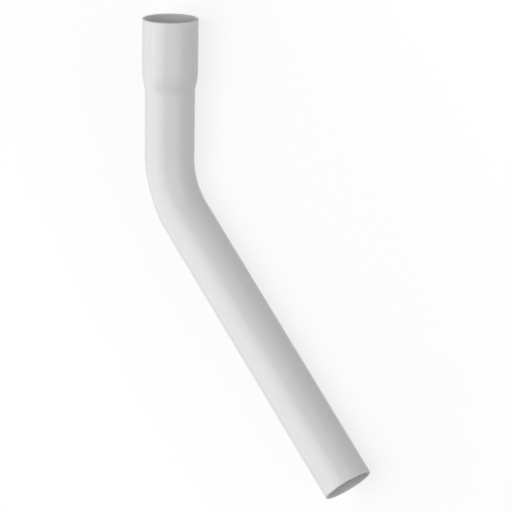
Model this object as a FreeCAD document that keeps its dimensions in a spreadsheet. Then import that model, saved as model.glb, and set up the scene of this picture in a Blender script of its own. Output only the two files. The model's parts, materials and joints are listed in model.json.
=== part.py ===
import FreeCAD, Part
import math
import os
import Sketcher

# Flush pipe between a cistern and a toilet pan, in millimetres: one length of extruded plastic tube,
# its upper end belled hot into a socket and its lower part swept forward by a hot-formed bend.
#
# The pipe is drawn as it is fitted: the socket's axis along Z with the mouth up, the bend in the YZ
# plane, and the body's origin on the axis where the bend starts. It is then laid on its side as it
# comes to rest on a floor, with the tail along +X, the lowest point at z = 0 and the outline centred.

SIZES = (
    ("tube_diameter", 44.0, "outside of the plain tube"),
    ("wall", 2.4, "thickness of the wall, kept all along the pipe"),
    ("socket_clearance", 0.2, "gap on the radius between the socket's bore and a tube of the same size"),
    ("socket_depth", 45.5, "straight part of the socket, from the mouth to the shoulder"),
    ("shoulder_radius", 55.0, "outer curve where the socket starts to narrow"),
    ("neck_radius", 26.5, "hollow curve where the narrowing runs out into the tube"),
    ("run_length", 55.5, "straight tube from the neck to the start of the bend"),
    ("bend_radius", 77.0, "radius of the bend's centreline"),
    ("bend_angle", 45.0, "turn of the bend, in degrees"),
    ("bend_flattening", 2.0, "how much narrower the tube is at mid-bend, measured in the bend's plane"),
    ("tail_length", 279.0, "straight tube from the end of the bend to the lower end"),
    ("rim_chamfer", 0.5, "bevel on the inner and outer edges of both cut ends"),
)

# The bend is lofted through one more section than it has spans.
BEND_SPANS = 8

# Position codes of the points on a sketch's line or arc, and the sketch's own origin and axis.
START, END, CENTRE = range(1, 4)
ORIGIN = (-1, 1)
HORIZONTAL_AXIS = -1


def make_sheet(doc):
    """Writes the driving sizes into a spreadsheet, each with its alias and a note."""
    sheet = doc.addObject("Spreadsheet::Sheet", "Sizes")
    for row, (alias, value, note) in enumerate(SIZES, start=1):
        sheet.set("A%d" % row, alias)
        sheet.set("B%d" % row, str(value))
        sheet.set("C%d" % row, note)
        sheet.setAlias("B%d" % row, alias)
    doc.recompute()
    return sheet


def new_sketch(body, name, role):
    """Adds a sketch to the body on one of its own origin planes."""
    sketch = body.newObject("Sketcher::SketchObject", name)
    plane = next(item for item in body.Origin.OriginFeatures if item.Role == role)
    sketch.AttachmentSupport = (plane, [""])
    sketch.MapMode = "FlatFace"
    return sketch


def dimension(sketch, expression, *constraint):
    """Adds a driving dimension to the sketch and ties it to the sheet."""
    index = sketch.addConstraint(Sketcher.Constraint(*constraint))
    sketch.setExpression("Constraints[%d]" % index, expression)


def join(sketch, kind, first, first_point, second, second_point):
    """Makes two curves of the sketch meet end to end, by kind Coincident or Tangent."""
    sketch.addConstraint(Sketcher.Constraint(kind, first, first_point, second, second_point))


def socket_radius(sheet):
    """Outside radius of the socket: a tube of the same size, the clearance round it and the wall."""
    return sheet.tube_diameter / 2 + sheet.socket_clearance + sheet.wall


def taper_length(sheet):
    """Length of the narrowing from socket to tube, where two tangent arcs take up the step."""
    step = socket_radius(sheet) - sheet.tube_diameter / 2
    radii = sheet.neck_radius + sheet.shoulder_radius
    return math.sqrt(radii ** 2 - (radii - step) ** 2)


def mouth_height(sheet):
    """Height of the socket's mouth above the start of the bend."""
    return sheet.run_length + taper_length(sheet) + sheet.socket_depth


def add_line(sketch, start, end):
    """Adds a straight line between two points of the sketch and returns its number."""
    return sketch.addGeometry(Part.LineSegment(FreeCAD.Vector(*start), FreeCAD.Vector(*end)))


def add_arc(sketch, centre, radius, start_angle, end_angle):
    """Adds an anticlockwise arc, angles in radians, and returns its number."""
    circle = Part.Circle(FreeCAD.Vector(*centre), FreeCAD.Vector(0, 0, 1), radius)
    return sketch.addGeometry(Part.ArcOfCircle(circle, start_angle, end_angle))


def make_bell(body, sheet):
    """Revolves the socket, its shoulder and neck, and the straight run above the bend."""
    sketch = new_sketch(body, "bell_profile", "XZ_Plane")
    wall = sheet.wall
    tube = sheet.tube_diameter / 2
    socket = socket_radius(sheet)
    neck_z = sheet.run_length
    shoulder_z = neck_z + taper_length(sheet)
    mouth_z = mouth_height(sheet)
    neck_centre = (tube + sheet.neck_radius, neck_z)
    shoulder_centre = (socket - sheet.shoulder_radius, shoulder_z)
    swing = math.asin(taper_length(sheet) / (sheet.neck_radius + sheet.shoulder_radius))

    # The outer side, from the bend up to the mouth, then the inner side back down.
    outer_run = add_line(sketch, (tube, 0), (tube, neck_z))
    outer_neck = add_arc(sketch, neck_centre, sheet.neck_radius, math.pi - swing, math.pi)
    outer_shoulder = add_arc(sketch, shoulder_centre, sheet.shoulder_radius, -swing, 0)
    outer_socket = add_line(sketch, (socket, shoulder_z), (socket, mouth_z))
    mouth = add_line(sketch, (socket, mouth_z), (socket - wall, mouth_z))
    inner_socket = add_line(sketch, (socket - wall, mouth_z), (socket - wall, shoulder_z))
    inner_shoulder = add_arc(sketch, shoulder_centre, sheet.shoulder_radius - wall, -swing, 0)
    inner_neck = add_arc(sketch, neck_centre, sheet.neck_radius + wall, math.pi - swing, math.pi)
    inner_run = add_line(sketch, (tube - wall, neck_z), (tube - wall, 0))
    base = add_line(sketch, (tube - wall, 0), (tube, 0))

    join(sketch, "Tangent", outer_run, END, outer_neck, END)
    join(sketch, "Tangent", outer_neck, START, outer_shoulder, START)
    join(sketch, "Tangent", outer_shoulder, END, outer_socket, START)
    join(sketch, "Coincident", outer_socket, END, mouth, START)
    join(sketch, "Coincident", mouth, END, inner_socket, START)
    join(sketch, "Tangent", inner_socket, END, inner_shoulder, END)
    join(sketch, "Tangent", inner_shoulder, START, inner_neck, START)
    join(sketch, "Tangent", inner_neck, END, inner_run, START)
    join(sketch, "Coincident", inner_run, END, base, START)
    join(sketch, "Coincident", base, END, outer_run, START)
    # The inner arcs share their centres with the outer ones, so the wall keeps its thickness.
    join(sketch, "Coincident", outer_neck, CENTRE, inner_neck, CENTRE)
    join(sketch, "Coincident", outer_shoulder, CENTRE, inner_shoulder, CENTRE)
    for line in (outer_run, outer_socket, inner_socket, inner_run):
        sketch.addConstraint(Sketcher.Constraint("Vertical", line))
    for line in (mouth, base):
        sketch.addConstraint(Sketcher.Constraint("Horizontal", line))
    sketch.addConstraint(Sketcher.Constraint("PointOnObject", base, END, HORIZONTAL_AXIS))

    dimension(sketch, "Sizes.tube_diameter / 2", "DistanceX", *ORIGIN, outer_run, START, tube)
    dimension(sketch, "Sizes.tube_diameter / 2 + Sizes.socket_clearance + Sizes.wall",
              "DistanceX", *ORIGIN, outer_socket, START, socket)
    dimension(sketch, "Sizes.wall", "DistanceX", base, START, base, END, wall)
    dimension(sketch, "Sizes.run_length", "DistanceY", outer_run, START, outer_run, END, neck_z)
    dimension(sketch, "Sizes.socket_depth",
              "DistanceY", outer_socket, START, outer_socket, END, sheet.socket_depth)
    dimension(sketch, "Sizes.neck_radius", "Radius", outer_neck, sheet.neck_radius)
    dimension(sketch, "Sizes.shoulder_radius", "Radius", outer_shoulder, sheet.shoulder_radius)

    bell = body.newObject("PartDesign::Revolution", "bell")
    bell.Profile = sketch
    bell.ReferenceAxis = (sketch, ["V_Axis"])
    body.Document.recompute()


def put_across_bend(sketch, step):
    """Turns the sketch's plane square to the bend's centreline, so many spans on from its start."""
    turned = "Sizes.bend_angle * %d / %d" % (step, BEND_SPANS)
    offset = {
        "Base.y": "-Sizes.bend_radius * (1 - cos(%s))" % turned,
        "Base.z": "-Sizes.bend_radius * sin(%s)" % turned,
        "Rotation.Axis.x": "1",
        "Rotation.Axis.y": "0",
        "Rotation.Axis.z": "0",
        "Rotation.Angle": "-(%s)" % turned,
    }
    for path, expression in offset.items():
        sketch.setExpression("AttachmentOffset." + path, expression)


def add_round(sketch, diameter, expression):
    """Adds a circle about the sketch's origin."""
    circle = Part.Circle(FreeCAD.Vector(0, 0, 0), FreeCAD.Vector(0, 0, 1), diameter / 2)
    number = sketch.addGeometry(circle)
    join(sketch, "Coincident", number, CENTRE, *ORIGIN)
    dimension(sketch, expression, "Diameter", number, diameter)


def add_oval(sketch, across, across_expression, width, width_expression):
    """Adds an ellipse about the sketch's origin, its long axis square to the bend's plane."""
    long_end = FreeCAD.Vector(across / 2, 0, 0)
    short_end = FreeCAD.Vector(0, width / 2, 0)
    number = sketch.addGeometry(Part.Ellipse(long_end, short_end, FreeCAD.Vector(0, 0, 0)))
    sketch.exposeInternalGeometry(number)
    long_axis = number + 1
    short_axis = number + 2
    join(sketch, "Coincident", number, CENTRE, *ORIGIN)
    sketch.addConstraint(Sketcher.Constraint("Horizontal", long_axis))
    dimension(sketch, across_expression, "Distance", long_axis, across)
    dimension(sketch, width_expression, "Distance", short_axis, width)


def bend_section(body, sheet, step):
    """Draws the tube's section at one station of the bend: round at the ends, oval between them."""
    sketch = new_sketch(body, "bend_section_%d" % step, "XY_Plane")
    put_across_bend(sketch, step)
    across = sheet.tube_diameter
    width = across - sheet.bend_flattening * math.sin(math.pi * step / BEND_SPANS) ** 2
    width_expression = ("Sizes.tube_diameter - Sizes.bend_flattening * sin(180 * %d / %d) ^ 2"
                        % (step, BEND_SPANS))
    both_walls = 2 * sheet.wall
    if step in (0, BEND_SPANS):
        add_round(sketch, across, "Sizes.tube_diameter")
        add_round(sketch, across - both_walls, "Sizes.tube_diameter - 2 * Sizes.wall")
    else:
        add_oval(sketch, across, "Sizes.tube_diameter", width, width_expression)
        add_oval(sketch, across - both_walls, "Sizes.tube_diameter - 2 * Sizes.wall",
                 width - both_walls, width_expression + " - 2 * Sizes.wall")
    return sketch


def make_bend(body, sheet):
    """Lofts the bend, which narrows in its own plane as a tube does when it is bent hot."""
    sections = [bend_section(body, sheet, step) for step in range(BEND_SPANS + 1)]
    body.Document.recompute()
    bend = body.newObject("PartDesign::AdditiveLoft", "bend")
    bend.Profile = sections[0]
    bend.Sections = sections[1:]
    bend.Ruled = False
    body.Document.recompute()


def make_tail(body, sheet):
    """Pads the long straight tail from the end of the bend."""
    sketch = new_sketch(body, "tail_section", "XY_Plane")
    put_across_bend(sketch, BEND_SPANS)
    add_round(sketch, sheet.tube_diameter, "Sizes.tube_diameter")
    add_round(sketch, sheet.tube_diameter - 2 * sheet.wall, "Sizes.tube_diameter - 2 * Sizes.wall")
    tail = body.newObject("PartDesign::Pad", "tail")
    tail.Profile = sketch
    tail.Reversed = True
    tail.setExpression("Length", "Sizes.tail_length")
    body.Document.recompute()


def end_centres(sheet):
    """Centres of the pipe's two open ends, the mouth and the tail's end, in the body's frame."""
    turn = math.radians(sheet.bend_angle)
    across = sheet.bend_radius * (1 - math.cos(turn)) + sheet.tail_length * math.sin(turn)
    down = sheet.bend_radius * math.sin(turn) + sheet.tail_length * math.cos(turn)
    return FreeCAD.Vector(0, 0, mouth_height(sheet)), FreeCAD.Vector(0, -across, -down)


def bevel_rims(body, sheet):
    """Bevels the inner and outer edges of both open ends, as a cut end is dressed."""
    base = body.Tip
    near = sheet.wall / 10
    names = []
    for number, edge in enumerate(base.Shape.Edges, start=1):
        if not isinstance(edge.Curve, Part.Circle):
            continue
        if any(edge.Curve.Center.distanceToPoint(centre) < near for centre in end_centres(sheet)):
            names.append("Edge%d" % number)
    bevel = body.newObject("PartDesign::Chamfer", "rim_bevel")
    bevel.Base = (base, names)
    bevel.setExpression("Size", "Sizes.rim_chamfer")
    body.Document.recompute()


def rest_turn(sheet):
    """Angle in degrees, about the tail's axis, at which the tail and the shoulder both touch the floor.

    The shoulder is wider than the tube, so the pipe leans a little: the tube's radius and the rise of
    the shoulder's centre come to the depth of the shoulder's circle below that centre.
    """
    lean = math.sin(math.radians(sheet.bend_angle))
    tube = sheet.tube_diameter / 2
    socket = socket_radius(sheet)
    corner = sheet.bend_radius * math.tan(math.radians(sheet.bend_angle) / 2)
    reach = (corner + sheet.run_length + taper_length(sheet)) * lean
    square = reach ** 2 + (socket * lean) ** 2
    root = math.sqrt((tube * reach) ** 2 + square * (socket ** 2 - tube ** 2))
    return math.degrees(math.asin((root - tube * reach) / square))


def lay_down(body, sheet):
    """Lays the pipe on its side on the floor, tail along +X, centred on the origin."""
    turn = math.radians(sheet.bend_angle)
    flat = FreeCAD.Rotation(FreeCAD.Vector(0, 0, -1),
                            FreeCAD.Vector(-math.sin(turn), -math.cos(turn), 0),
                            FreeCAD.Vector(-math.cos(turn), math.sin(turn), 0), "ZYX")
    rotation = FreeCAD.Rotation(FreeCAD.Vector(1, 0, 0), rest_turn(sheet)) * flat
    body.Placement = FreeCAD.Placement(FreeCAD.Vector(0, 0, 0), rotation)
    box = body.Shape.optimalBoundingBox(False, False)
    body.Placement.Base = FreeCAD.Vector(-box.Center.x, -box.Center.y, -box.ZMin)
    body.Document.recompute()


def check(doc, body):
    """Stops before anything is written if a feature failed or the pipe isn't one sound solid."""
    for item in doc.Objects:
        if "Invalid" in item.State or "Error" in item.State:
            raise RuntimeError("%s failed: %s" % (item.Label, item.State))
    shape = body.Shape
    if shape.isNull() or not shape.isValid() or len(shape.Solids) != 1:
        raise RuntimeError("%s is not one sound solid" % body.Label)


def main():
    doc = FreeCAD.newDocument("flush_pipe")
    sheet = make_sheet(doc)
    pipe = doc.addObject("PartDesign::Body", "flush_pipe")
    pipe.Label = "flush_pipe"
    make_bell(pipe, sheet)
    make_bend(pipe, sheet)
    make_tail(pipe, sheet)
    bevel_rims(pipe, sheet)
    lay_down(pipe, sheet)
    check(doc, pipe)
    os.makedirs("parts", exist_ok=True)
    pipe.Shape.exportStep(os.path.join("parts", pipe.Label + ".step"))


main()
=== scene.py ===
"""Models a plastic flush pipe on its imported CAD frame, with the studio it is pictured in."""

import json
import math

import bmesh
import bpy
from mathutils import Matrix, Quaternion, Vector


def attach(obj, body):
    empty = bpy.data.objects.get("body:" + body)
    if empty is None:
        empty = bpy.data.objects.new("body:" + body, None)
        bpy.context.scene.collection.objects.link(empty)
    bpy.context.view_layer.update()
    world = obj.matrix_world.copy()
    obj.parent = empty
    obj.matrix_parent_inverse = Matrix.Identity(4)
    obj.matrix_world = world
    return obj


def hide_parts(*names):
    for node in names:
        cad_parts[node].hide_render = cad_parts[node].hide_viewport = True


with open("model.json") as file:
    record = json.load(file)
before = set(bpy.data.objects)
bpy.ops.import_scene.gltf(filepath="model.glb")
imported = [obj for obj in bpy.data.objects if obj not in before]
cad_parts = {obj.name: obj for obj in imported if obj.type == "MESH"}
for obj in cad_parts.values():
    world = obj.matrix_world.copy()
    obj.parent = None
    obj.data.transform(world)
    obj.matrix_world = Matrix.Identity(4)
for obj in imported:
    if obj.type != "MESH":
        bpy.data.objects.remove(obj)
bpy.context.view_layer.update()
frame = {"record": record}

bl_info = {
    "name": "Flush pipe",
    "version": (1, 0, 0),
    "blender": (4, 5, 0),
    "location": "3D View > Sidebar > Flush pipe",
    "description": "Models a flush pipe with a belled socket and a bent tail, "
                   "and lights it on a white floor",
    "category": "Add Mesh",
}

MM = 0.001
NODE = "flush_pipe"
BODY = "root"
SLOT = "pipe_plastic"

ORIGIN = (0.0, 0.0, 0.0)
ACROSS = (0.0, 1.0, 0.0)
UP = (0.0, 0.0, 1.0)
WHITE = (1.0, 1.0, 1.0, 1.0)
PLASTIC_IOR = 1.53

# To how many decimals of a millimetre the heights of two rings are told apart.
RING_DECIMALS = 3

# How finely each noise on the plastic is broken up.
LINE_DETAIL = 2.0
GRAIN_DETAIL = 1.0
CLOUD_DETAIL = 3.0
SCUFF_DETAIL = 3.0
SAW_DETAIL = 2.0

# How much longer the clouds are along the tube than round it.
CLOUD_STRETCH = 2.0

# Where in their noise the scuffs start to show, and where they show in full.
SCUFF_START = -0.05
SCUFF_FULL = 0.1

# How strongly each mark on the skin shifts its tone, and how many times further than the skin's the tone
# of the cut ends drifts.
CLOUD_TONE = 1.2
LINE_TONE = 0.4
SCUFF_TONE = 0.4
SAW_TONE = 2.0

# How strongly each mark roughens the plastic, and how much smoother hot forming leaves it.
LINE_ROUGHNESS = 0.1
GRAIN_ROUGHNESS = 0.1
SCUFF_ROUGHNESS = 0.07
SAW_ROUGHNESS = 0.15
REWORKED_SMOOTHING = 0.04

# The middle of a noise's range, and of a mix.
MIDDLE = 0.5

# A Mix node's sockets for two colours and their mix.
MIX_FIRST = 6
MIX_SECOND = 7
MIX_RESULT = 2

# How far the floor is squeezed along each axis for its fade to white, as the pipe lies along X.
PIPE_SQUEEZE = (0.4, 1.0, 1.0)

# How far off the lamps hang, how wide the camera's frame is in millimetres, and the range that it sees.
LAMP_DISTANCE = 2.0
FRAME_WIDTH = 36.0
NEAREST_SEEN = 0.01
FARTHEST_SEEN = 100.0

# The attributes that keep where each point lay while the tube was still straight, how far the plastic
# there was reworked hot, from 0 on the plain tube to 1 in the socket and at mid-bend, and how worn it
# is, from 1 at the two rims to 0 a ring away from them.
STRAIGHT = "straight"
REWORKED = "reworked"
WORN = "worn"

# The order of the pipe's materials.
SKIN, BORE, CUT = range(3)

RECORD = frame["record"]
MOUNTS = {mount["name"]: mount for mount in RECORD["mounts"]}
FINISH = next(finish for finish in RECORD["materials"] if finish["slot"] == SLOT)

# The pipe's two ends as the frame gives them. Each axis points out of its end.
SOCKET_AXIS = Vector(MOUNTS["socket"]["axis"]).normalized()
TAIL_AXIS = Vector(MOUNTS["spigot"]["axis"]).normalized()
SOCKET_MIDDLE = Vector(MOUNTS["socket"]["pos_m"])
SOCKET_SPAN = MOUNTS["socket"]["dims"]["length_mm"] * MM
BORE_RADIUS = MOUNTS["socket"]["dims"]["r_mm"] * MM
TUBE_RADIUS = MOUNTS["spigot"]["dims"]["r_mm"] * MM
BEND_ANGLE = (-SOCKET_AXIS).angle(TAIL_AXIS)


def length(name, description, default):
    """A size in metres, as a property."""
    return bpy.props.FloatProperty(name=name, description=description, default=default,
                                   min=0.0, precision=5, subtype="DISTANCE", unit="LENGTH")


def share(name, description, default):
    """A share from none to all, as a property."""
    return bpy.props.FloatProperty(name=name, description=description, default=default,
                                   min=0.0, max=1.0, subtype="FACTOR")


def number(name, description, default):
    """A plain number, as a property."""
    return bpy.props.FloatProperty(name=name, description=description, default=default)


def angle(name, description, default):
    """An angle in radians, as a property."""
    return bpy.props.FloatProperty(name=name, description=description, default=default,
                                   subtype="ANGLE", unit="ROTATION")


def colour(name, description, default):
    """A linear colour, as a property."""
    return bpy.props.FloatVectorProperty(name=name, description=description, default=default,
                                         size=3, min=0.0, max=1.0, subtype="COLOR")


def point(name, description, default):
    """A place in the frame, as a property."""
    return bpy.props.FloatVectorProperty(name=name, description=description, default=default,
                                         size=3, subtype="TRANSLATION", unit="LENGTH")


def count(name, description, default):
    """A whole number, as a property."""
    return bpy.props.IntProperty(name=name, description=description, default=default, min=1)


class PipeSizes(bpy.types.PropertyGroup):
    """The pipe's own sizes and how finely its mesh is divided."""

    tube_radius: length("Tube radius", "Outside of the plain tube", TUBE_RADIUS)
    bore_radius: length("Socket bore", "Inside radius of the socket", BORE_RADIUS)
    wall: length("Wall", "Thickness of the wall all along the pipe", 2.4 * MM)
    socket_depth: length("Socket depth", "Straight part of the socket", 45.5 * MM)
    shoulder_radius: length("Shoulder radius", "Curve where the socket starts to narrow", 55.0 * MM)
    neck_radius: length("Neck radius", "Hollow curve that runs out into the tube", 26.5 * MM)
    run_length: length("Run", "Straight tube between the neck and the bend", 55.5 * MM)
    bend_radius: length("Bend radius", "Radius of the bend's centreline", 77.0 * MM)
    bend_angle: angle("Bend angle", "Turn of the bend", BEND_ANGLE)
    bend_flattening: length("Flattening", "How much narrower the tube is at mid-bend", 2.0 * MM)
    tail_length: length("Tail", "Straight tube below the bend", 279.0 * MM)
    rim_chamfer: length("Rim chamfer", "Bevel on the inner and outer edges of both cut ends", 0.5 * MM)
    rim_softening: length("Rim softening", "Rounding of the bevels' own edges", 0.12 * MM)
    sides: count("Sides", "Faces round the tube", 128)
    ring_gap: length("Ring gap", "Distance between rings on the straight runs", 6.0 * MM)
    curve_steps: count("Curve steps", "Rings on the shoulder, and again on the neck", 8)
    bend_steps: count("Bend steps", "Rings along the bend", 28)
    rim_steps: count("Rim steps", "Faces across each softened edge", 2)


class PlasticLook(bpy.types.PropertyGroup):
    """The colour and finish of the plastic."""

    base: colour("Plastic", "Colour of the plastic", FINISH["base_color"])
    roughness: share("Roughness", "Mean roughness of the satin skin", 0.31)
    # The inside's darker tone is painted shade within the tube; its higher roughness is the duller bore's
    # own.
    bore_shaded_tone: share("Bore tone", "How light the inside is against the skin", 0.90)
    bore_roughness: share("Bore roughness", "Mean roughness of the inside", 0.55)
    # The sawn ends' darker tone is painted shade on the rims; their higher roughness is their own.
    cut_shaded_tone: share("Cut tone", "How light the sawn ends are against the skin", 0.96)
    cut_roughness: share("Cut roughness", "Roughness of the sawn ends", 0.62)
    tone_change: share("Tone change", "How far the colour drifts each way", 0.025)
    line_gap: length("Line gap", "Distance between the draw lines", 1.5 * MM)
    line_run: length("Line run", "How far a draw line runs along the tube", 90.0 * MM)
    line_depth: length("Line depth", "Depth of the draw lines", 0.025 * MM)
    ironing: share("Ironing", "How much of the draw lines the hot forming takes away", 0.7)
    grain_size: length("Grain", "Size of the skin's fine grain", 0.4 * MM)
    grain_depth: length("Grain depth", "Depth of the fine grain", 0.012 * MM)
    cloud_size: length("Clouds", "Size of the faint clouds in the colour", 35.0 * MM)
    scuff_size: length("Scuffs", "Size of the scuffs beside the rims", 1.2 * MM)
    saw_gap: length("Saw gap", "Distance between the saw's lines on the cut ends", 0.5 * MM)
    saw_run: length("Saw run", "Length of the saw's lines", 12.0 * MM)
    saw_depth: length("Saw depth", "Depth of the saw's lines", 0.06 * MM)


class StudioStage(bpy.types.PropertyGroup):
    """The floor, the light and the camera."""

    floor: colour("Floor", "Colour of the floor", (0.55, 0.55, 0.55))
    floor_width: length("Floor width", "Side of the square floor", 16.0)
    shadow_lift: share("Shadow lift",
                       "How far the floor by the pipe is shown lifted to plain white", 0.8)
    shadow_reach: length("Shadow reach",
                         "How far beside the pipe's middle the floor starts to whiten", 0.1)
    white_reach: length("White reach",
                        "How far beside the pipe's middle the floor is all white", 0.3)
    sky: number("Sky", "Strength of the even light from all round", 0.06)
    key: number("Key", "Strength of the large soft lamp above the pipe", 0.486)
    key_turn: angle("Key turn", "Compass turn of the key lamp, from +X", math.radians(202.0))
    key_height: angle("Key height", "Height of the key lamp above the floor", math.radians(80.0))
    side: number("Side", "Strength of the soft lamp beside the bend", 0.363)
    side_turn: angle("Side turn", "Compass turn of the side lamp, from +X", math.radians(247.0))
    side_height: angle("Side height", "Height of the side lamp above the floor", math.radians(35.0))
    spread: angle("Spread", "Width of the key and side lamps as the pipe sees them", math.radians(60.0))
    fill: number("Fill", "Strength of the wide low lamp on the camera's side", 0.435)
    fill_turn: angle("Fill turn", "Compass turn of the fill lamp, from +X", math.radians(58.0))
    fill_height: angle("Fill height", "Height of the fill lamp above the floor", math.radians(18.0))
    fill_spread: angle("Fill spread", "Width of the fill lamp as the pipe sees it", math.radians(76.0))
    eye: point("Camera", "Place of the camera", (0.541845, 1.252381, 1.450860))
    aim: point("Aim", "Point that the camera looks at", (0.006394, -0.015172, 0.010979))
    roll: angle("Roll", "Turn of the camera about its own view line", math.radians(-104.3928))
    lens: number("Lens", "Focal length in millimetres on a 36 mm wide frame", 160.66)


class Wire:
    """An output of a shader node. Python's operators on it add Math nodes."""

    def __init__(self, board, socket):
        self.board = board
        self.socket = socket

    def maths(self, operation, first, second):
        return self.board.place("ShaderNodeMath", {"operation": operation}, {0: first, 1: second})

    def __add__(self, other):
        return self.maths("ADD", self, other)

    def __radd__(self, other):
        return self.maths("ADD", other, self)

    def __sub__(self, other):
        return self.maths("SUBTRACT", self, other)

    def __rsub__(self, other):
        return self.maths("SUBTRACT", other, self)

    def __mul__(self, other):
        return self.maths("MULTIPLY", self, other)

    def __rmul__(self, other):
        return self.maths("MULTIPLY", other, self)


class NodeBoard:
    """The node tree of a material or a world."""

    def __init__(self, owner):
        owner.use_nodes = True
        self.tree = owner.node_tree
        self.tree.nodes.clear()

    def place(self, kind, settings=None, inputs=None, output=0):
        """Adds a node, makes its settings, fills or links its inputs, and returns one of its outputs."""
        node = self.tree.nodes.new(kind)
        for name, value in (settings or {}).items():
            setattr(node, name, value)
        for name, value in (inputs or {}).items():
            if isinstance(value, Wire):
                self.tree.links.new(value.socket, node.inputs[name])
            else:
                node.inputs[name].default_value = value
        return Wire(self, node.outputs[output]) if node.outputs else None

    def noise(self, vector, sizes, detail):
        """Adds a noise about zero whose features are so large along each axis, in metres."""
        scale = tuple(1.0 / size for size in sizes)
        placed = self.place("ShaderNodeMapping", inputs={"Vector": vector, "Scale": scale})
        noise = self.place("ShaderNodeTexNoise", inputs={
            "Vector": placed, "Scale": 1.0, "Detail": detail})
        return noise - MIDDLE

    def slope(self, value, start, stop, low=0.0, high=1.0):
        """Adds a smooth rise from low to high as the value goes from start to stop."""
        return self.place("ShaderNodeMapRange", {"interpolation_type": "SMOOTHSTEP"}, {
            "Value": value, "From Min": start, "From Max": stop, "To Min": low, "To Max": high})

    def relief(self, height):
        """Adds a bump of the given height in metres."""
        return self.place("ShaderNodeBump", inputs={"Strength": 1.0, "Distance": 1.0, "Height": height})

    def attribute(self, name, output):
        """Adds an attribute of the piece."""
        return self.place("ShaderNodeAttribute", {"attribute_name": name}, output=output)

    def plastic(self, base, rough, height):
        """Ends the board in plastic of the given colour, roughness and relief."""
        skin = self.place("ShaderNodeBsdfPrincipled", inputs={
            "Base Color": base, "Roughness": rough, "IOR": PLASTIC_IOR, "Normal": self.relief(height)})
        self.place("ShaderNodeOutputMaterial", inputs={"Surface": skin})

    def seen(self):
        """Adds a mask of the rays that show a surface, straight on, mirrored or through glass."""
        rays = [self.place("ShaderNodeLightPath", output=name)
                for name in ("Is Camera Ray", "Is Glossy Ray", "Is Transmission Ray")]
        return sum(rays[1:], rays[0])

    def mix(self, factor, first, second):
        """Adds a mix of two colours."""
        return self.place("ShaderNodeMix", {"data_type": "RGBA"}, {
            "Factor": factor, MIX_FIRST: first, MIX_SECOND: second}, MIX_RESULT)


def shade(rgb, factor):
    """A colour made lighter or darker, with its alpha."""
    return tuple(min(1.0, channel * factor) for channel in rgb) + (1.0,)


def drift(board, pale, rgb, tone, change):
    """Adds a colour that drifts about its tone, darker where pale is 0 and lighter where it is 1."""
    return board.mix(pale, shade(rgb, tone * (1.0 - change)), shade(rgb, tone * (1.0 + change)))


def satin_plastic(name, look, tone, roughness):
    """Extruded plastic: draw lines that fade where it was reworked hot, fine grain and scuffed rims."""
    material = bpy.data.materials.new(name)
    board = NodeBoard(material)
    straight = board.attribute(STRAIGHT, "Vector")
    reworked = board.attribute(REWORKED, "Fac")
    worn = board.attribute(WORN, "Fac")
    lines = board.noise(straight, (look.line_gap, look.line_gap, look.line_run), LINE_DETAIL)
    grain = board.noise(straight, (look.grain_size,) * 3, GRAIN_DETAIL)
    cloud_sizes = (look.cloud_size, look.cloud_size, CLOUD_STRETCH * look.cloud_size)
    clouds = board.noise(straight, cloud_sizes, CLOUD_DETAIL)
    marks = board.noise(straight, (look.scuff_size,) * 3, SCUFF_DETAIL)
    scuffs = board.slope(marks, SCUFF_START, SCUFF_FULL) * worn
    drawn = lines * (1.0 - reworked * look.ironing)
    pale = MIDDLE + clouds * CLOUD_TONE + drawn * LINE_TONE + scuffs * SCUFF_TONE
    base = drift(board, pale, look.base, tone, look.tone_change)
    rough = (roughness + drawn * LINE_ROUGHNESS + grain * GRAIN_ROUGHNESS
             - reworked * REWORKED_SMOOTHING + scuffs * SCUFF_ROUGHNESS)
    board.plastic(base, rough, drawn * look.line_depth + grain * look.grain_depth)
    return material


def sawn_plastic(name, look):
    """The cut ends: duller than the skin, with fine straight saw lines, and a little darker as painted
    shade.
    """
    material = bpy.data.materials.new(name)
    board = NodeBoard(material)
    place = board.place("ShaderNodeTexCoord", output="Object")
    saw = board.noise(place, (look.saw_gap, look.saw_gap, look.saw_run), SAW_DETAIL)
    # The cut ends are painted a little darker than the skin as shade on the rims; the saw lines drift their
    # tone.
    base = drift(board, MIDDLE + saw, look.base, look.cut_shaded_tone, SAW_TONE * look.tone_change)
    board.plastic(base, look.cut_roughness + saw * SAW_ROUGHNESS, saw * look.saw_depth)
    return material


def carry(bm, geometry, steps, turn=0.0, centre=ORIGIN, axis=UP, drop=0.0, close=False):
    """Sweeps a point or a line in even steps, round an axis or straight down.

    Returns the point or line in its last place.
    """
    swept = bmesh.ops.spin(bm, geom=geometry, cent=centre, axis=axis, angle=turn, steps=steps,
                           dvec=(0.0, 0.0, -drop / steps), use_merge=close)
    return swept["geom_last"]


def settle(bm):
    """Puts edges and faces in the order of their points, so that each run gives the same mesh."""
    bm.verts.index_update()
    for parts in (bm.edges, bm.faces):
        ordered = sorted(parts, key=lambda part: sorted(vert.index for vert in part.verts))
        for place, part in enumerate(ordered):
            part.index = place
        parts.sort()


def ring_steps(sizes, run):
    """How many steps a straight run is divided into."""
    return max(1, round(run / sizes.ring_gap))


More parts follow.
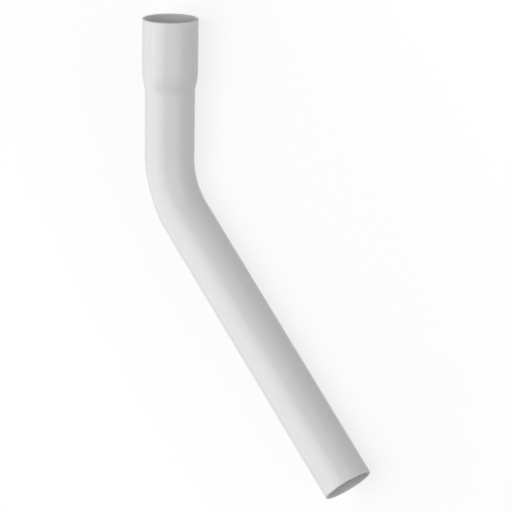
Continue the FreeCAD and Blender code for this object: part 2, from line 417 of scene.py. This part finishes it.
def draw_straight_tube(bm, sizes):
    """Draws the outside of the belled tube as it is before bending, mouth up.

    The bend starts at z = 0. Returns the height of the mouth.
    """
    tube = sizes.tube_radius
    socket = sizes.bore_radius + sizes.wall
    radii = sizes.neck_radius + sizes.shoulder_radius
    swing = math.acos(1.0 - (socket - tube) / radii)
    shoulder_height = sizes.run_length + radii * math.sin(swing)
    mouth_height = shoulder_height + sizes.socket_depth
    shoulder_centre = (socket - sizes.shoulder_radius, 0.0, shoulder_height)
    neck_centre = (tube + sizes.neck_radius, 0.0, sizes.run_length)

    line = bmesh.ops.create_vert(bm, co=(socket, 0.0, mouth_height))["vert"]
    line = carry(bm, line, ring_steps(sizes, sizes.socket_depth), drop=sizes.socket_depth)
    line = carry(bm, line, sizes.curve_steps, swing, shoulder_centre, ACROSS)
    line = carry(bm, line, sizes.curve_steps, -swing, neck_centre, ACROSS)
    line = carry(bm, line, ring_steps(sizes, sizes.run_length), drop=sizes.run_length)
    line = carry(bm, line, sizes.bend_steps, drop=sizes.bend_radius * sizes.bend_angle)
    carry(bm, line, ring_steps(sizes, sizes.tail_length), drop=sizes.tail_length)
    carry(bm, bm.verts[:] + bm.edges[:], sizes.sides, math.tau, close=True)
    bmesh.ops.recalc_face_normals(bm, faces=bm.faces[:])
    settle(bm)
    return mouth_height


def note_the_tube(bm, sizes):
    """Notes on each point its place on the straight tube, and how far it is reworked hot and worn."""
    straight = bm.verts.layers.float_vector.new(STRAIGHT)
    reworked = bm.verts.layers.float.new(REWORKED)
    worn = bm.verts.layers.float.new(WORN)
    belling = sizes.bore_radius + sizes.wall - sizes.tube_radius
    for vert in bm.verts:
        vert[straight] = vert.co
        widened = (math.hypot(vert.co.x, vert.co.y) - sizes.tube_radius) / belling
        vert[reworked] = max(widened, bend_share(sizes, -vert.co.z))
        vert[worn] = 1.0 if vert.is_boundary else 0.0


def bend_share(sizes, travel):
    """How far into its hottest part the bend is, so far along it: 0 at both ends and 1 at mid-bend."""
    along = travel / (sizes.bend_radius * sizes.bend_angle)
    return math.sin(math.pi * min(max(along, 0.0), 1.0)) ** 2


def bend_tube(bm, sizes):
    """Bends the tube ring by ring about the bend's centre, narrowing it a little in the bend's plane."""
    centre = Vector((0.0, -sizes.bend_radius, 0.0))
    rings = {}
    for vert in bm.verts:
        rings.setdefault(round(vert.co.z / MM, RING_DECIMALS), []).append(vert)
    for height, ring in rings.items():
        travel = min(-height * MM, sizes.bend_radius * sizes.bend_angle)
        if travel <= 0.0:
            continue
        turn = Matrix.Rotation(-travel / sizes.bend_radius, 3, "X")
        narrowing = sizes.bend_flattening * bend_share(sizes, travel)
        bmesh.ops.translate(bm, verts=ring, vec=(0.0, 0.0, travel))
        bmesh.ops.scale(bm, verts=ring, vec=(1.0, 1.0 - narrowing / (2.0 * sizes.tube_radius), 1.0))
        bmesh.ops.rotate(bm, verts=ring, cent=centre, matrix=turn)


def faces_of(geometry):
    """The faces among an operator's geometry."""
    return [item for item in geometry if isinstance(item, bmesh.types.BMFace)]


def paint(faces, finish):
    """Gives the faces one of the pipe's materials."""
    for face in faces:
        face.material_index = finish


def thicken_wall(bm, sizes):
    """Gives the tube its wall, inwards, and returns the flat rims of its two ends."""
    outside = bm.faces[:]
    bore = faces_of(bmesh.ops.solidify(bm, geom=outside, thickness=sizes.wall)["geom"])
    paint(outside, SKIN)
    paint(bore, BORE)
    walls = set(outside + bore)
    return [face for face in bm.faces if face not in walls]


def bevel_border(bm, faces, offset, segments):
    """Bevels the edges round a band of faces, in the mesh's order, and returns the new faces."""
    band = set(faces)
    border = [edge for edge in bm.edges
              if not band.isdisjoint(edge.link_faces) and not band.issuperset(edge.link_faces)]
    return bmesh.ops.bevel(bm, geom=border, offset=offset, offset_type="OFFSET", segments=segments,
                           profile=0.5, affect="EDGES", material=-1)["faces"]


def dress_rims(bm, sizes, rims):
    """Bevels the edges of the sawn rims and softens the bevels."""
    paint(rims, CUT)
    bevels = bevel_border(bm, rims, sizes.rim_chamfer, segments=1)
    paint(bevels, CUT)
    paint(bevel_border(bm, bevels, sizes.rim_softening, sizes.rim_steps), CUT)


def frame_placement(sizes, mouth_height):
    """The move that takes the drawn pipe to where its CAD solid lies."""
    back = -(TAIL_AXIS + SOCKET_AXIS * math.cos(sizes.bend_angle)).normalized()
    side = back.cross(SOCKET_AXIS)
    mouth = SOCKET_MIDDLE + SOCKET_AXIS * (SOCKET_SPAN / 2.0 + sizes.rim_chamfer)
    turn = Matrix((side, back, SOCKET_AXIS)).transposed().to_4x4()
    return Matrix.Translation(mouth) @ turn @ Matrix.Translation((0.0, 0.0, -mouth_height))


class FLUSHPIPE_OT_pipe(bpy.types.Operator):
    """Model the pipe: a belled tube, bent, given its wall, bevelled at its rims and laid on its frame"""

    bl_idname = "flush_pipe.pipe"
    bl_label = "Make the pipe"

    def execute(self, context):
        sizes = context.scene.pipe_sizes
        look = context.scene.plastic_look
        bm = bmesh.new()
        mouth_height = draw_straight_tube(bm, sizes)
        note_the_tube(bm, sizes)
        bend_tube(bm, sizes)
        rims = thicken_wall(bm, sizes)
        dress_rims(bm, sizes, rims)
        settle(bm)
        bmesh.ops.transform(bm, matrix=frame_placement(sizes, mouth_height), verts=bm.verts[:])
        mesh = bpy.data.meshes.new("pipe")
        bm.to_mesh(mesh)
        bm.free()
        mesh.shade_smooth()
        mesh.materials.append(satin_plastic("skin", look, tone=1.0, roughness=look.roughness))
        # The bore is painted a tenth darker than the skin as shade inside the tube, and is also rougher.
        mesh.materials.append(satin_plastic("bore", look, look.bore_shaded_tone, look.bore_roughness))
        mesh.materials.append(sawn_plastic("cut_end", look))
        pipe = bpy.data.objects.new("pipe", mesh)
        context.scene.collection.objects.link(pipe)
        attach(pipe, BODY)
        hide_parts(NODE)
        return {"FINISHED"}


def make_floor(scene, stage):
    """Lays a plain floor that lights the pipe as grey paper does, and is shown white but for the shadow."""
    bm = bmesh.new()
    bmesh.ops.create_grid(bm, x_segments=1, y_segments=1, size=stage.floor_width / 2.0)
    mesh = bpy.data.meshes.new("floor")
    bm.to_mesh(mesh)
    bm.free()
    material = bpy.data.materials.new("floor_paper")
    board = NodeBoard(material)
    paper = board.place("ShaderNodeBsdfDiffuse", inputs={"Color": shade(stage.floor, 1.0)})
    shadow = board.place("ShaderNodeBsdfDiffuse", inputs={"Color": WHITE})
    white = board.place("ShaderNodeEmission", inputs={"Color": WHITE, "Strength": 1.0})
    place = board.place("ShaderNodeTexCoord", output="Object")
    squeezed = board.place("ShaderNodeMapping", inputs={"Vector": place, "Scale": PIPE_SQUEEZE})
    away = board.place("ShaderNodeVectorMath", {"operation": "LENGTH"}, {0: squeezed}, output="Value")
    lift = board.slope(away, stage.shadow_reach, stage.white_reach, stage.shadow_lift, 1.0)
    shown = board.place("ShaderNodeMixShader", inputs={"Fac": lift, 1: shadow, 2: white})
    floor_mix = board.place("ShaderNodeMixShader", inputs={"Fac": board.seen(), 1: paper, 2: shown})
    board.place("ShaderNodeOutputMaterial", inputs={"Surface": floor_mix})
    mesh.materials.append(material)
    floor = bpy.data.objects.new("floor", mesh)
    scene.collection.objects.link(floor)


def make_sky(scene, stage):
    """Lights the studio faintly and evenly from all round, and shows white behind the floor."""
    scene.world = bpy.data.worlds.new("studio")
    board = NodeBoard(scene.world)
    light = board.place("ShaderNodeBackground", inputs={"Color": WHITE, "Strength": stage.sky})
    shown = board.place("ShaderNodeBackground", inputs={"Color": WHITE, "Strength": 1.0})
    studio = board.place("ShaderNodeMixShader", inputs={"Fac": board.seen(), 1: light, 2: shown})
    board.place("ShaderNodeOutputWorld", inputs={"Surface": studio})


def make_lamp(scene, name, strength, turn, height, spread):
    """Hangs a soft lamp. A white surface that faces a lamp of strength 1 shows as white."""
    light = bpy.data.lights.new(name, "SUN")
    light.energy = strength * math.pi
    light.angle = spread
    lamp = bpy.data.objects.new(name, light)
    lamp.rotation_euler = (0.0, math.pi / 2.0 - height, turn)
    lamp.location = lamp.rotation_euler.to_matrix() @ Vector((0.0, 0.0, LAMP_DISTANCE))
    scene.collection.objects.link(lamp)


def make_camera(scene, stage):
    """Sets the camera where the picture was taken from."""
    view = bpy.data.cameras.new("camera")
    view.sensor_width = FRAME_WIDTH
    view.lens = stage.lens
    view.clip_start = NEAREST_SEEN
    view.clip_end = FARTHEST_SEEN
    camera = bpy.data.objects.new("camera", view)
    sight = Vector(stage.aim) - Vector(stage.eye)
    camera.rotation_mode = "QUATERNION"
    camera.rotation_quaternion = sight.to_track_quat("-Z", "Y") @ Quaternion(UP, stage.roll)
    camera.location = stage.eye
    scene.collection.objects.link(camera)
    scene.camera = camera


class FLUSHPIPE_OT_stage(bpy.types.Operator):
    """Set the stage: a pale floor, soft light and the camera"""

    bl_idname = "flush_pipe.stage"
    bl_label = "Set the stage"

    def execute(self, context):
        scene = context.scene
        stage = scene.studio_stage
        scene.view_settings.view_transform = "Standard"
        make_floor(scene, stage)
        make_sky(scene, stage)
        make_lamp(scene, "key", stage.key, stage.key_turn, stage.key_height, stage.spread)
        make_lamp(scene, "side", stage.side, stage.side_turn, stage.side_height, stage.spread)
        make_lamp(scene, "fill", stage.fill, stage.fill_turn, stage.fill_height, stage.fill_spread)
        make_camera(scene, stage)
        return {"FINISHED"}


GROUPS = {"pipe_sizes": PipeSizes, "plastic_look": PlasticLook, "studio_stage": StudioStage}
OPERATORS = (FLUSHPIPE_OT_pipe, FLUSHPIPE_OT_stage)


class FLUSHPIPE_PT_sidebar(bpy.types.Panel):
    """Lists the pipe's sizes, its look and the stage, with a button for each step"""

    bl_idname = "FLUSHPIPE_PT_sidebar"
    bl_label = "Flush pipe"
    bl_space_type = "VIEW_3D"
    bl_region_type = "UI"
    bl_category = "Flush pipe"

    def draw(self, context):
        for name, group in GROUPS.items():
            box = self.layout.box()
            for field in group.__annotations__:
                box.prop(getattr(context.scene, name), field)
        for operator in OPERATORS:
            self.layout.operator(operator.bl_idname)


CLASSES = (*GROUPS.values(), *OPERATORS, FLUSHPIPE_PT_sidebar)


def register():
    for cls in CLASSES:
        bpy.utils.register_class(cls)
    for name, group in GROUPS.items():
        setattr(bpy.types.Scene, name, bpy.props.PointerProperty(type=group))


def unregister():
    for name in GROUPS:
        delattr(bpy.types.Scene, name)
    for cls in reversed(CLASSES):
        bpy.utils.unregister_class(cls)


def main():
    register()
    bpy.ops.flush_pipe.pipe()
    bpy.ops.flush_pipe.stage()


if __name__ == "__main__":
    main()
